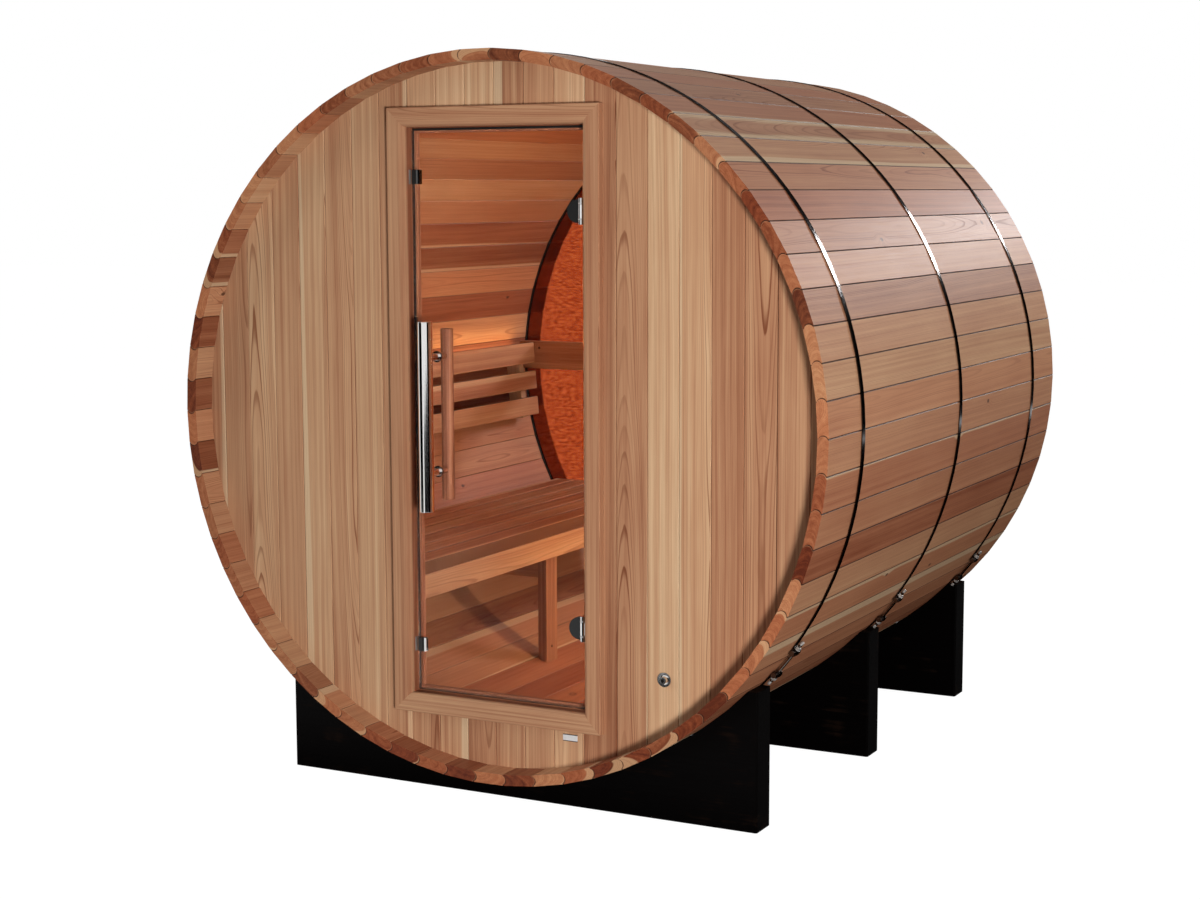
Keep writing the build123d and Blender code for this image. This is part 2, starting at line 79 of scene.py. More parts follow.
class Finish:
    """The node tree of one finish, with short ways to add the nodes that it needs."""

    def __init__(self, tree):
        self.tree = tree

    def feed(self, socket, value):
        if isinstance(value, bpy.types.NodeSocket):
            self.tree.links.new(value, socket)
        elif value is not None:
            socket.default_value = value

    def node(self, kind, inputs=(), **settings):
        made = self.tree.nodes.new("ShaderNode" + kind)
        for setting, value in settings.items():
            setattr(made, setting, value)
        pairs = inputs.items() if isinstance(inputs, dict) else enumerate(inputs)
        for place, value in pairs:
            self.feed(made.inputs[place], value)
        return made

    def math(self, operation, *values):
        return self.node("Math", values, operation=operation).outputs[0]

    def plus(self, value, *others):
        for other in others:
            value = self.math("ADD", value, other)
        return value

    def minus(self, value, other):
        return self.math("SUBTRACT", value, other)

    def times(self, value, *others):
        for other in others:
            value = self.math("MULTIPLY", value, other)
        return value

    def length(self, first, second):
        """The straight line across two distances that stand square to each other."""
        return self.math("SQRT", self.plus(self.times(first, first), self.times(second, second)))

    def scaled(self, value, factor, offset=0.0):
        return self.math("MULTIPLY_ADD", value, factor, offset)

    def centred(self, value, span):
        """A number from 0 to 1 spread over a span that has nought in its middle."""
        return self.scaled(value, span, -span / 2)

    def between(self, value, low, high, low_value=0.0, high_value=1.0):
        """A soft step from low_value to high_value while the value goes from low to high."""
        sockets = {"Value": value, "From Min": low, "From Max": high,
                   "To Min": low_value, "To Max": high_value}
        return self.node("MapRange", sockets, interpolation_type="SMOOTHSTEP").outputs[0]

    def at(self, x, y, z):
        return self.node("CombineXYZ", (x, y, z)).outputs[0]

    def noise(self, position, scale=1.0, detail=2.0, roughness=0.5):
        sockets = {"Vector": position, "Scale": scale, "Detail": detail, "Roughness": roughness}
        return self.node("TexNoise", sockets).outputs["Fac"]

    def stretched(self, place, waves, detail=2.0, roughness=0.5, seed=0.0):
        """Noise with its own number of waves to the metre along each axis."""
        sides = [self.scaled(place[0], waves[0], seed)]
        sides += [self.scaled(place[axis], waves[axis]) for axis in (1, 2)]
        return self.noise(self.at(*sides), 1.0, detail, roughness)

    def dice(self, seed):
        """Three random numbers from 0 to 1 that belong to the seed."""
        rolled = self.node("TexWhiteNoise", {"W": seed}, noise_dimensions="1D").outputs["Color"]
        return self.node("SeparateColor", (rolled,)).outputs

    def ramp(self, value, *stops):
        made = self.node("ValToRGB", (value,))
        band = made.color_ramp
        while len(band.elements) < len(stops):
            band.elements.new(0.5)
        for element, (place, colour) in zip(band.elements, stops):
            element.position = place
            element.color = colour
        return made.outputs[0]

    def mix(self, amount, first, second, blend="MIX"):
        made = self.node("Mix", data_type="RGBA", blend_type=blend, clamp_factor=True)
        self.feed(made.inputs[0], amount)
        self.feed(made.inputs[6], first)
        self.feed(made.inputs[7], second)
        return made.outputs[2]

    def place(self):
        """The object's own X, Y and Z, in metres."""
        where = self.node("TexCoord").outputs["Object"]
        return self.node("SeparateXYZ", (where,)).outputs

    def facing(self):
        """The surface's own direction."""
        where = self.node("TexCoord").outputs["Normal"]
        return self.node("SeparateXYZ", (where,)).outputs

    def boards(self, place, first_edge, pitch):
        """Which board of a row the place is on, and how far it is from that board's middle."""
        count = self.scaled(place, 1 / pitch, -first_edge / pitch)
        across = self.scaled(self.minus(self.math("FRACT", count), 0.5), pitch)
        return self.math("FLOOR", count), across

    def bump(self, height, strength, distance):
        sockets = {"Height": height, "Strength": strength, "Distance": distance}
        return self.node("Bump", sockets).outputs[0]


def swatch(red, green, blue):
    """A colour given as the three numbers of a paint card."""
    card = [value / 255 for value in (red, green, blue)]
    linear = [v / 12.92 if v <= 0.04045 else ((v + 0.055) / 1.055) ** 2.4 for v in card]
    return (*linear, 1.0)


def new_finish(name, **sockets):
    """A material whose shader has these plain values, and the tools to wire up the rest."""
    made = bpy.data.materials.new(name)
    made.use_nodes = True
    shader = made.node_tree.nodes["Principled BSDF"]
    for socket, value in sockets.items():
        shader.inputs[socket.replace("_", " ")].default_value = value
    return made, Finish(made.node_tree), shader.inputs


def new_group(name, inputs, outputs):
    tree = bpy.data.node_groups.new(name, "ShaderNodeTree")
    for socket, value in inputs.items():
        item = tree.interface.new_socket(socket, in_out="INPUT", socket_type="NodeSocketFloat")
        item.default_value = value
    for socket, kind in outputs.items():
        tree.interface.new_socket(socket, in_out="OUTPUT", socket_type="NodeSocket" + kind)
    given = tree.nodes.new("NodeGroupInput").outputs
    return Finish(tree), given, tree.nodes.new("NodeGroupOutput").inputs


def knots_group():
    """Small dark knots, now and then along a board, with the grain swept round them."""
    wires, given, out = new_group(
        "knots",
        {"Along": 0.0, "Across": 0.0, "Board": 0.0, "Share": 0.2},
        {"Knot": "Float", "Sweep": "Float"})
    spacing, stretch, widest_place = 0.45, 1.9, 0.056
    knot_radius, heart_radius, sweep_radius = 0.0070, 0.0030, 0.030
    ragged_waves, ragged_rim = 90, 0.006
    steps = wires.scaled(given["Along"], 1 / spacing, wires.scaled(given["Board"], 0.37))
    cell = wires.math("FLOOR", steps)
    dice = wires.dice(wires.plus(wires.scaled(cell, 7.31), wires.scaled(given["Board"], 3.17)))
    inside = wires.minus(wires.math("FRACT", steps), wires.scaled(dice[0], 0.7, 0.15))
    side = wires.minus(given["Across"], wires.centred(dice[1], widest_place))
    along = wires.scaled(inside, spacing / stretch)
    ragged = wires.stretched((along, side, cell), (ragged_waves, ragged_waves, 1.0))
    distance = wires.plus(wires.length(along, side), wires.centred(ragged, ragged_rim))
    shown = wires.math("LESS_THAN", dice[2], given["Share"])
    knot = wires.between(distance, knot_radius, heart_radius)
    sweep = wires.between(distance, sweep_radius, 0.0)
    wires.feed(out["Knot"], wires.times(knot, shown))
    wires.feed(out["Sweep"], wires.times(sweep, shown))
    return wires.tree


def timber_group(knots):
    """Growth rings round a pith that runs beside the board, so that a face shows straight lines or
    arches and an end shows arcs, with fibre, streaks, pale sapwood and a tone for each board."""
    wires, given, out = new_group(
        "timber",
        {"Along": 0.0, "Across": 0.0, "Depth": 0.0, "Board": 0.0, "Tone": 0.5, "Spread": 0.4,
         "Ring Width": 0.0024, "Ring Strength": 0.5, "Figure": 1.0, "Blush": 0.34, "End": 0.0,
         "Knots": 0.1},
        {"Color": "Color", "Roughness": "Float", "Height": "Float"})
    nearest_pith, pith_range, pith_width = 0.026, 0.075, 0.32
    lean_span, drift_span, sway_span = 0.044, 0.022, 0.016
    wobble_depth, knot_sweep = 0.0040, 0.010
    nearest_sap, sap_range, sap_edge = 0.004, 0.10, 0.004
    wobble_waves, fibre_waves = (20, 20, 2.4), (460, 460, 6.0)
    streak_waves, cloud_waves = (85, 85, 0.9), (10, 10, 2.6)
    cloud_span, years_span, streak_span, fibre_span = 0.26, 0.74, 0.44, 0.30

    along, across, depth, board = (given[n] for n in ("Along", "Across", "Depth", "Board"))
    where = (across, depth, along)
    first = wires.dice(board)
    second = wires.dice(wires.plus(board, 0.37))
    seed = wires.scaled(board, 3.7)
    knot = wires.node("Group", {"Along": along, "Across": across, "Board": board,
                                "Share": given["Knots"]}, node_tree=knots).outputs

    lean = wires.times(wires.centred(first[2], lean_span), along)
    drift = wires.noise(wires.at(seed, wires.scaled(along, 1.3), 4.0), 1.0, 1.0)
    sway = wires.noise(wires.at(seed, wires.scaled(along, 0.9), 9.0), 1.0, 1.0)
    pith_depth = wires.plus(wires.scaled(first[1], pith_range, nearest_pith),
                            wires.centred(drift, drift_span), lean)
    pith_centre = wires.centred(first[0], pith_width)
    pith_across = wires.plus(pith_centre, wires.centred(sway, sway_span))
    radius = wires.length(wires.minus(across, pith_across), wires.plus(depth, pith_depth))
    wobble = wires.stretched(where, wobble_waves, 3.0, seed=seed)
    radius = wires.plus(radius, wires.scaled(wobble, wobble_depth),
                        wires.scaled(knot["Sweep"], knot_sweep))

    ring = wires.math("DIVIDE", radius, given["Ring Width"])
    phase = wires.math("FRACT", ring)
    late = wires.times(wires.between(phase, 0.60, 0.88), wires.between(phase, 1.0, 0.93))
    ring_dice = wires.dice(wires.plus(wires.math("FLOOR", ring), wires.scaled(board, 17.3)))
    weight = wires.times(ring_dice[0], ring_dice[0])
    strength = wires.plus(given["Ring Strength"], wires.scaled(given["End"], 0.35))
    late = wires.times(late, wires.scaled(weight, 0.80, 0.20), strength)
    years = wires.at(wires.scaled(ring, 0.21, seed), wires.scaled(along, 0.25), 2.0)
    years = wires.noise(years, 1.0, 3.0, 0.6)

    fibre = wires.stretched(where, fibre_waves, 3.0, 0.6, seed)
    streak = wires.stretched(where, streak_waves, 3.0, 0.6, seed)
    cloud = wires.stretched(where, cloud_waves, 3.0, seed=seed)
    sap_start = wires.plus(wires.length(pith_centre, pith_depth),
                           wires.scaled(second[1], sap_range, nearest_sap))
    sap = wires.between(wires.minus(radius, sap_start), 0.0, sap_edge)

    own_tone = wires.times(wires.centred(second[0], 1.0), given["Spread"])
    figure = wires.plus(wires.centred(years, years_span), wires.centred(streak, streak_span))
    tone = wires.plus(
        given["Tone"], own_tone, wires.centred(cloud, cloud_span),
        wires.times(figure, given["Figure"]), wires.centred(fibre, fibre_span),
        wires.scaled(given["End"], -0.12))
    colour = wires.ramp(
        tone,
        (0.00, swatch(98, 54, 36)),
        (0.25, swatch(144, 91, 64)),
        (0.50, swatch(182, 132, 99)),
        (0.75, swatch(206, 162, 124)),
        (1.00, swatch(228, 194, 154)))
    blush = wires.times(second[2], given["Blush"])
    colour = wires.mix(blush, colour, swatch(238, 178, 156), "MULTIPLY")
    colour = wires.mix(wires.scaled(sap, 0.66), colour, swatch(230, 202, 164))
    colour = wires.mix(late, colour, swatch(150, 92, 62), "MULTIPLY")
    colour = wires.mix(wires.scaled(given["End"], 0.5), colour, swatch(232, 176, 130), "MULTIPLY")
    colour = wires.mix(wires.scaled(knot["Knot"], 0.85), colour, swatch(72, 40, 27))

    wires.feed(out["Color"], colour)
    wires.feed(out["Roughness"], wires.plus(wires.scaled(fibre, 0.16, 0.42), wires.scaled(late, 0.10)))
    wires.feed(out["Height"], wires.minus(wires.scaled(fibre, 0.6), wires.scaled(late, 0.5)))
    return wires.tree


timber = timber_group(knots_group())


def lay_timber(wires, shader, along, across, depth, board, look):
    """Wires the timber group to a shader, and gives its colour for what is laid over it."""
    places = {"Along": along, "Across": across, "Depth": depth, "Board": board}
    wood = wires.node("Group", {**places, **look}, node_tree=timber).outputs
    wires.feed(shader["Base Color"], wood["Color"])
    wires.feed(shader["Roughness"], wood["Roughness"])
    wires.feed(shader["Normal"], wires.bump(wood["Height"], 0.35, 0.0006))
    return wood["Color"]


def stave_finish():
    made, wires, shader = new_finish("oiled_staves", Specular_IOR_Level=0.25)
    x, y, z = wires.place()
    up = wires.minus(z, axis_height)
    angle = wires.math("ARCTAN2", up, x)
    radius = wires.length(x, up)
    depth = wires.minus(radius, barrel_radius - stave_thickness / 2)

    bead_radius = (bead_half_chord ** 2 + bead_rise ** 2) / (2 * bead_rise)
    reach = wires.scaled(wires.times(depth, depth), -1, bead_radius ** 2)
    reach = wires.math("SQRT", wires.math("MAXIMUM", reach, 0.0))
    rise = wires.math("MAXIMUM", wires.minus(reach, bead_radius - bead_rise), 0.0)
    flattened = wires.minus(angle, wires.math("DIVIDE", rise, radius))
    turns = wires.scaled(flattened, 1 / stave_turn, -first_joint_turn / stave_turn)
    turns = wires.math("WRAP", turns, float(stave_count), 0.0)
    board = wires.math("FLOOR", turns)
    off_middle = wires.minus(wires.math("FRACT", turns), 0.5)
    across = wires.times(wires.scaled(off_middle, stave_turn), radius)
    from_joint = wires.scaled(wires.math("ABSOLUTE", across), -1, stave_turn * barrel_radius / 2)

    end = wires.between(wires.math("ABSOLUTE", wires.facing()[1]), 0.6, 0.9)
    inside = wires.times(wires.math("LESS_THAN", depth, inner_skin), wires.scaled(end, -1, 1))
    tone_spread = wires.plus(wires.scaled(end, 0.45, 0.30), wires.scaled(inside, 0.34))
    colour = lay_timber(wires, shader, y, across, depth, board, {
        "Tone": 0.54, "Spread": tone_spread, "Ring Width": 0.0024, "Ring Strength": 0.6,
        "Figure": wires.scaled(end, 0.4, 0.6), "Blush": 0.58, "End": end, "Knots": 0.10})

    # Painted highlight: a pale line along one edge of each stave, for the light that the stave's
    # rounded edge catches.
    painted_arris_highlight = wires.times(wires.between(from_joint, *arris_highlight_outside),
                        wires.between(from_joint, *arris_highlight_inside),
                        wires.math("GREATER_THAN", across, 0.0))
    colour = wires.mix(wires.scaled(painted_arris_highlight, 0.22), colour, swatch(218, 172, 132))
    aside = wires.minus(x, floor_knot[0])
    beside = wires.scaled(wires.minus(y, floor_knot[1]), knot_squash)
    from_knot = wires.length(aside, beside)
    ring = wires.times(wires.between(from_knot, *knot_rim),
                       wires.between(from_knot, *knot_heart, 0.35, 1.0),
                       wires.math("LESS_THAN", up, 0.0))
    colour = wires.mix(wires.scaled(ring, 0.7), colour, swatch(92, 48, 30))
    seam = wires.scaled(wires.between(from_joint, seam_edge, seam_core), 0.90)
    wires.feed(shader["Base Color"], wires.mix(seam, colour, swatch(62, 32, 22), "MULTIPLY"))
    return made


def dress(finish, *names):
    """Puts a finish on nodes of the frame whose shape stays as it is."""
    for name in names:
        for slot in nodes[name].material_slots:
            slot.material = finish


stave_names = [name for name in nodes if name.startswith("staves_")]
dress(stave_finish(), *stave_names)


# Cradles. Three planks on edge, sawn to the barrel's curve and painted black. The paint is thin,
# so the saw marks show through it and the brown timber shows in worn patches.
def cradle_finish():
    made, wires, shader = new_finish("black_paint", Specular_IOR_Level=0.06)
    place = wires.place()
    grain = wires.stretched(place, (3, 90, 90), 4.0, 0.6)
    patches = wires.stretched(place, (14, 14, 14), 3.0)
    worn = wires.between(wires.times(grain, patches), 0.30, 0.46)
    wires.feed(shader["Base Color"], wires.mix(worn, swatch(3, 2, 2), swatch(20, 12, 8)))
    wires.feed(shader["Roughness"], wires.scaled(grain, 0.25, 0.50))
    wires.feed(shader["Normal"], wires.bump(grain, 0.5, 0.0008))
    return made


dress(cradle_finish(), "cradle_front", "cradle_middle", "cradle_rear")


# Hoops. Three flat stainless bands, drawn tight over the staves by a threaded rod between two
# cross pins at the lower right. The bands are brushed along their length.
hoop_names = ("hoop_front", "hoop_middle", "hoop_rear")
tensioner_turn = math.radians(-38.5)
rod_reach = 0.9238
pin_half_spacing = 0.038
eye_radius = 0.0093
washer_radius, washer_thickness, washer_edge = 0.0085, 0.0016, 0.0003
nut_radius, nut_thickness, nut_edge = 0.0075, 0.0065, 0.0007
rod_tip_radius, rod_tip_length, rod_tip_reach, rod_tip_edge = 0.0043, 0.010, 0.0675, 0.0008
round_sides, nut_sides = 24, 6


def brushed_finish(name, colour, roughness, metallic=1.0):
    made, wires, shader = new_finish(name, Metallic=metallic)
    place = wires.place()
    brushing = wires.stretched(place, (6, 900, 6))
    smear = wires.stretched(place, (9, 30, 9), 3.0)
    dull = tuple(channel * 0.7 for channel in colour[:3]) + (1.0,)
    wires.feed(shader["Base Color"], wires.mix(wires.between(smear, 0.3, 0.7), dull, colour))
    wires.feed(shader["Roughness"], wires.plus(wires.scaled(brushing, 0.06, roughness),
                                               wires.scaled(smear, 0.05)))
    wires.feed(shader["Normal"], wires.bump(brushing, 0.12, 0.0003))
    return made


# The bands and the tensioner have a darker colour than bare stainless steel: painted shade, for the
# dark surroundings that they mirror.
dress(brushed_finish("hoop_band", swatch(84, 76, 75), 0.07), *hoop_names)
dress(brushed_finish("tensioner_steel", swatch(132, 120, 112), 0.16), "hoop_tensioners")
satin_steel = brushed_finish("satin_steel", swatch(226, 220, 214), 0.20, 0.65)


def settle(piece):
    """Applies the piece's own place, so that its object sits unturned at the origin."""
    bpy.ops.object.transform_apply(location=True, rotation=True, scale=True)
    return piece


def join(name, parts):
    """Makes one piece of several."""
    bpy.ops.object.select_all(action="DESELECT")
    for part in parts:
        part.select_set(True)
    bpy.context.view_layer.objects.active = parts[0]
    if len(parts) > 1:
        bpy.ops.object.join()
    parts[0].name = name
    bpy.ops.object.select_all(action="DESELECT")
    return parts[0]


def turned(place, direction, radius, thickness, sides, edge, steps=2):
    """A round or six-sided bar with eased ends, such as a nut, a collar or a grip."""
    bpy.ops.object.select_all(action="DESELECT")
    turn = Vector(direction).to_track_quat("Z", "Y").to_euler()
    bpy.ops.mesh.primitive_cylinder_add(
        vertices=sides, radius=radius, depth=thickness, location=place, rotation=turn)
    piece = settle(bpy.context.object)
    bpy.ops.object.mode_set(mode="EDIT")
    bpy.ops.mesh.select_mode(type="EDGE")
    bpy.ops.mesh.select_all(action="DESELECT")
    shape = bmesh.from_edit_mesh(piece.data)
    along = Vector(direction).normalized()
    for rim in shape.edges:
        run = (rim.verts[1].co - rim.verts[0].co).normalized()
        rim.select_set(abs(run.dot(along)) < 0.5)
    bmesh.update_edit_mesh(piece.data)
    bpy.ops.mesh.bevel(offset=edge, segments=steps)
    bpy.ops.object.mode_set(mode="OBJECT")
    bpy.ops.object.shade_smooth_by_angle(angle=math.radians(35))
    return piece


tangent = Vector((-math.sin(tensioner_turn), 0, math.cos(tensioner_turn)))
outward = Vector((math.cos(tensioner_turn), 0, math.sin(tensioner_turn)))
eye_reach = pin_half_spacing + eye_radius
rod_fittings = [
    (eye_reach + washer_thickness / 2, washer_radius, washer_thickness, round_sides, washer_edge),
    (eye_reach + washer_thickness + nut_thickness / 2, nut_radius, nut_thickness, nut_sides, nut_edge),
    (rod_tip_reach, rod_tip_radius, rod_tip_length, round_sides, rod_tip_edge)]
fittings = []
for band in hoop_names:
    low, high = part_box(band)
    middle = Vector((0, (low.y + high.y) / 2, axis_height)) + outward * rod_reach
    for end in (-1, 1):
        for reach, radius, thickness, sides, edge in rod_fittings:
            place = middle + tangent * end * reach
            fittings.append(turned(place, tangent, radius, thickness, sides, edge))
rod_nuts = join("rod_nuts", fittings)
rod_nuts.data.materials.append(satin_steel)
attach(rod_nuts, "sauna")


# Front wall. Tongued and grooved cedar boards stand upright in the groove of the staves, with a
# small V at each joint on both faces. The boards over and under the door are cut to length.
board_width = 0.0843
wall_front = -0.875
wall_back = -0.837
wall_radius = 0.8943
wall_facets = 180
rough_half_width = 0.275
rough_top = axis_height + 0.753
rough_bottom = axis_height - 0.741
v_joint_depth = 0.0022
v_joint_edge, v_joint_core = 0.0010, 0.0002
under_door_shift = -0.008


def keep_side(point, normal):
    """Cuts the mesh being edited through a plane, and drops the side that the normal points to."""
    bpy.ops.mesh.select_all(action="SELECT")
    bpy.ops.mesh.bisect(plane_co=point, plane_no=normal, clear_outer=True, use_fill=True)


def select_edges(mesh, test):
    """Selects the edges whose two ends pass the test, and nothing else."""
    bpy.ops.mesh.select_mode(type="EDGE")
    bpy.ops.mesh.select_all(action="DESELECT")
    shape = bmesh.from_edit_mesh(mesh)
    for edge in shape.edges:
        edge.select_set(test(edge.verts[0].co, edge.verts[1].co))
    bmesh.update_edit_mesh(mesh)


def wall_board(left, right, cuts, joints):
    """One board of the wall, a slice of the round wall between two upright planes."""
    bpy.ops.object.select_all(action="DESELECT")
    bpy.ops.mesh.primitive_cylinder_add(
        vertices=wall_facets, radius=wall_radius, depth=wall_back - wall_front,
        location=(0, (wall_front + wall_back) / 2, axis_height), rotation=(math.pi / 2, 0, 0))
    piece = settle(bpy.context.object)
    bpy.ops.object.mode_set(mode="EDIT")
    keep_side((left, 0, 0), (-1, 0, 0))
    keep_side((right, 0, 0), (1, 0, 0))
    for height, direction in cuts:
        keep_side((0, 0, height), (0, 0, direction))

    def on_joint(a, b):
        upright = abs(a.x - b.x) < 1e-5 and abs(a.y - b.y) < 1e-5
        return upright and any(abs(a.x - x) < 1e-5 for x in joints)

    select_edges(piece.data, on_joint)
    bpy.ops.mesh.bevel(offset=v_joint_depth, segments=1)
    bpy.ops.object.mode_set(mode="OBJECT")
    return piece


def boards_between(name, left, right, cuts, shift):
    boards = []
    first = math.floor((left - shift) / board_width + 1e-6)
    last = math.ceil((right - shift) / board_width - 1e-6)
    for number in range(first, last):
        x0 = number * board_width + shift
        x1 = x0 + board_width
        joints = [x for x in (x0, x1) if left < x < right]
        boards.append(wall_board(max(x0, left), min(x1, right), cuts, joints))
    return join(name, boards)


def wall_finish(node, shift, first_board):
    made, wires, shader = new_finish(node.replace("front", "cedar"), Specular_IOR_Level=0.20)
    x, y, z = wires.place()
    board, across = wires.boards(x, shift, board_width)
    along = wires.minus(z, axis_height)
    depth = wires.minus(y, (wall_front + wall_back) / 2)
    colour = lay_timber(wires, shader, along, across, depth, wires.plus(board, first_board), {
        "Tone": 0.63, "Spread": 0.46, "Ring Width": 0.0026, "Ring Strength": 0.75, "Blush": 0.16,
        "Knots": 0.0})
    from_joint = wires.scaled(wires.math("ABSOLUTE", across), -1, board_width / 2)
    seam = wires.scaled(wires.between(from_joint, v_joint_edge, v_joint_core), 0.6)
    wires.feed(shader["Base Color"], wires.mix(seam, colour, swatch(96, 56, 38), "MULTIPLY"))
    return made


wall_pieces = [
    ("front_wall_left", -wall_radius, -rough_half_width, [], 0.0, 233.0),
    ("front_wall_right", rough_half_width, wall_radius, [], 0.0, 293.0),
    ("front_wall_over_door", -rough_half_width, rough_half_width, [(rough_top, -1)], 0.0, 353.0),
    ("front_wall_under_door", -rough_half_width, rough_half_width, [(rough_bottom, 1)],
     under_door_shift, 203.0),
]
for node, left, right, cuts, shift, first_board in wall_pieces:
    boards = boards_between(node.replace("front_wall", "wall_boards"), left, right, cuts, shift)
    boards.data.materials.append(wall_finish(node, shift, first_board))
    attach(boards, "sauna")
    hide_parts(node)


# Door lining and trim. Planed cedar: two jambs between a head and a sill, each with a stop, and a
# mitred moulding with a rounded bevel towards the opening, pinned over the wall boards.
def joinery_finish(node, grain, number, look):
    """Timber for one straight length; the grain names the axis that it runs along."""
    made, wires, shader = new_finish(node + "_wood", Specular_IOR_Level=0.25)
    low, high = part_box(node)
    from_middle = {}
    for axis, place, middle in zip("XYZ", wires.place(), (low + high) / 2):
        from_middle[axis] = wires.minus(place, middle)
    along = from_middle.pop(grain)
    across = from_middle.pop("Z" if grain == "X" else "X")
    depth, = from_middle.values()
    lay_timber(wires, shader, along, across, depth, number, look)
    return made


def dress_joinery(lengths, first_number, look):
    """Gives each straight length its own piece of timber."""
    for number, (node, grain) in enumerate(lengths.items(), first_number):
        dress(joinery_finish(node, grain, float(number), look), node)


trim_look = {"Tone": 0.54, "Spread": 0.10, "Ring Width": 0.0020, "Ring Strength": 0.5, "Knots": 0.0}
lining_look = {**trim_look, "Tone": 0.24}
trim_grain = {"trim_left": "Z", "trim_right": "Z", "trim_top": "X", "trim_bottom": "X"}
lining_grain = {"door_jamb_left": "Z", "door_jamb_right": "Z", "door_head": "X", "door_sill": "X"}
dress_joinery(trim_grain, 71, trim_look)
dress_joinery(lining_grain, 75, lining_look)


# Door seal. A black rubber strip is stuck to the face of each stop, where the glass closes
# towards it.
def rubber_finish():
    made, wires, shader = new_finish("black_rubber", Specular_IOR_Level=0.3)
    grit = wires.noise(wires.at(*wires.place()), 700.0, 3.0)
    wires.feed(shader["Base Color"], wires.mix(grit, swatch(10, 9, 9), swatch(30, 27, 26)))
    wires.feed(shader["Roughness"], wires.scaled(grit, 0.25, 0.55))
    wires.feed(shader["Normal"], wires.bump(grit, 0.2, 0.0003))
    return made


rubber = rubber_finish()
stop_front = wall_back - 0.015
stop_width = 0.014
seal_width, seal_thickness, seal_margin, seal_edge = 0.006, 0.0018, 0.0022, 0.0008
seal_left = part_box("door_jamb_left")[1].x - stop_width + seal_margin
seal_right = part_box("door_jamb_right")[0].x + stop_width - seal_margin
seal_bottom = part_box("door_sill")[1].z - stop_width + seal_margin
seal_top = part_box("door_head")[0].z + stop_width - seal_margin


def seal_strip(left, right, bottom, top):
    """One straight strip, with its front edges rounded over."""
    bpy.ops.object.select_all(action="DESELECT")
    bpy.ops.mesh.primitive_cube_add(
        size=1.0,
        location=((left + right) / 2, stop_front - seal_thickness / 2, (bottom + top) / 2),
        scale=(right - left, seal_thickness, top - bottom))
    strip = settle(bpy.context.object)
    bpy.ops.object.mode_set(mode="EDIT")
    front = stop_front - seal_thickness
    select_edges(strip.data, lambda a, b: abs(a.y - front) < 1e-6 and abs(b.y - front) < 1e-6)
    bpy.ops.mesh.bevel(offset=seal_edge, segments=2)
    bpy.ops.object.mode_set(mode="OBJECT")
    return strip


inner_left, inner_right = seal_left + seal_width, seal_right - seal_width
seal = join("door_seal", [
    seal_strip(seal_left, inner_left, seal_bottom, seal_top),
    seal_strip(inner_right, seal_right, seal_bottom, seal_top),
    seal_strip(inner_left, inner_right, seal_bottom, seal_bottom + seal_width),
    seal_strip(inner_left, inner_right, seal_top - seal_width, seal_top)])
seal.data.materials.append(rubber)
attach(seal, "sauna")


# Plate. A bare white plate of thin plastic, with a dark edge above and below, is stuck to the
# boards under the door.
plate_left, plate_right = 0.186, 0.227
plate_top, plate_bottom = axis_height - 0.779, axis_height - 0.797
plate_middle = (plate_top + plate_bottom) / 2
plate_thickness = 0.0010
plate_corner = 0.0015
plate_band = 0.0020

bpy.ops.object.select_all(action="DESELECT")
bpy.ops.mesh.primitive_cube_add(
    size=1.0,
    location=((plate_left + plate_right) / 2, wall_front - plate_thickness / 2, plate_middle),
    scale=(plate_right - plate_left, plate_thickness, plate_top - plate_bottom))
plate = settle(bpy.context.object)
plate.name = "bare_plate"
bpy.ops.object.mode_set(mode="EDIT")
select_edges(plate.data, lambda a, b: abs(a.x - b.x) < 1e-6 and abs(a.z - b.z) < 1e-6)
bpy.ops.mesh.bevel(offset=plate_corner, segments=3)
bpy.ops.object.mode_set(mode="OBJECT")


def plate_finish():
    made, wires, shader = new_finish("bare_plate", Specular_IOR_Level=0.4)
    x, y, z = wires.place()
    from_middle = wires.math("ABSOLUTE", wires.minus(z, plate_middle))
    half = (plate_top - plate_bottom) / 2
    band = wires.math("GREATER_THAN", from_middle, half - plate_band)
    smudge = wires.noise(wires.at(x, y, z), 160.0, 3.0)
    face = wires.mix(smudge, swatch(216, 214, 214), swatch(238, 237, 236))
    wires.feed(shader["Base Color"], wires.mix(band, face, swatch(22, 22, 24)))
    wires.feed(shader["Roughness"], wires.scaled(smudge, 0.2, 0.3))
    return made


plate.data.materials.append(plate_finish())
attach(plate, "sauna")


# Glass door. A leaf of clear toughened glass with polished edges, hung on two clamp hinges.
# It throws no shadow, because the light goes through it.
def glass_finish(name, colour):
    made, wires, shader = new_finish(name, Transmission_Weight=1.0, IOR=1.12, Roughness=0.0)
    shader["Base Color"].default_value = colour
    return made, wires, shader


clear_glass = glass_finish("clear_glass", (0.97, 0.99, 0.98, 1.0))[0]
dress(clear_glass, "door_glass")
nodes["door_glass"].visible_shadow = False


# Hinges. Black D-shaped clamp plates grip the glass, and turn on a bright knuckle and a pin that
# a leaf holds to the jamb. A thin collar keeps each knuckle of the clamps in its place.
pivot = (0.243, -0.875)
knuckle_left = 0.2362
hinge_middles = [axis_height + 0.522, axis_height - 0.507]
collar_radius, collar_thickness, collar_edge = 0.0080, 0.0022, 0.0005
collar_drop = 0.019


def hinge_finish():
    made, wires, shader = new_finish("hinge_clamps")
    x, y, z = wires.place()
    knuckle = wires.math("GREATER_THAN", x, knuckle_left)
    speckle = wires.noise(wires.at(x, y, z), 900.0, 2.0)
    wires.feed(shader["Base Color"], wires.mix(knuckle, swatch(12, 12, 13), swatch(196, 194, 192)))
    wires.feed(shader["Metallic"], knuckle)
    wires.feed(shader["Roughness"], wires.plus(wires.scaled(speckle, 0.10, 0.28),
                                               wires.scaled(knuckle, -0.16)))
    wires.feed(shader["Normal"], wires.bump(speckle, 0.08, 0.0002))
    return made


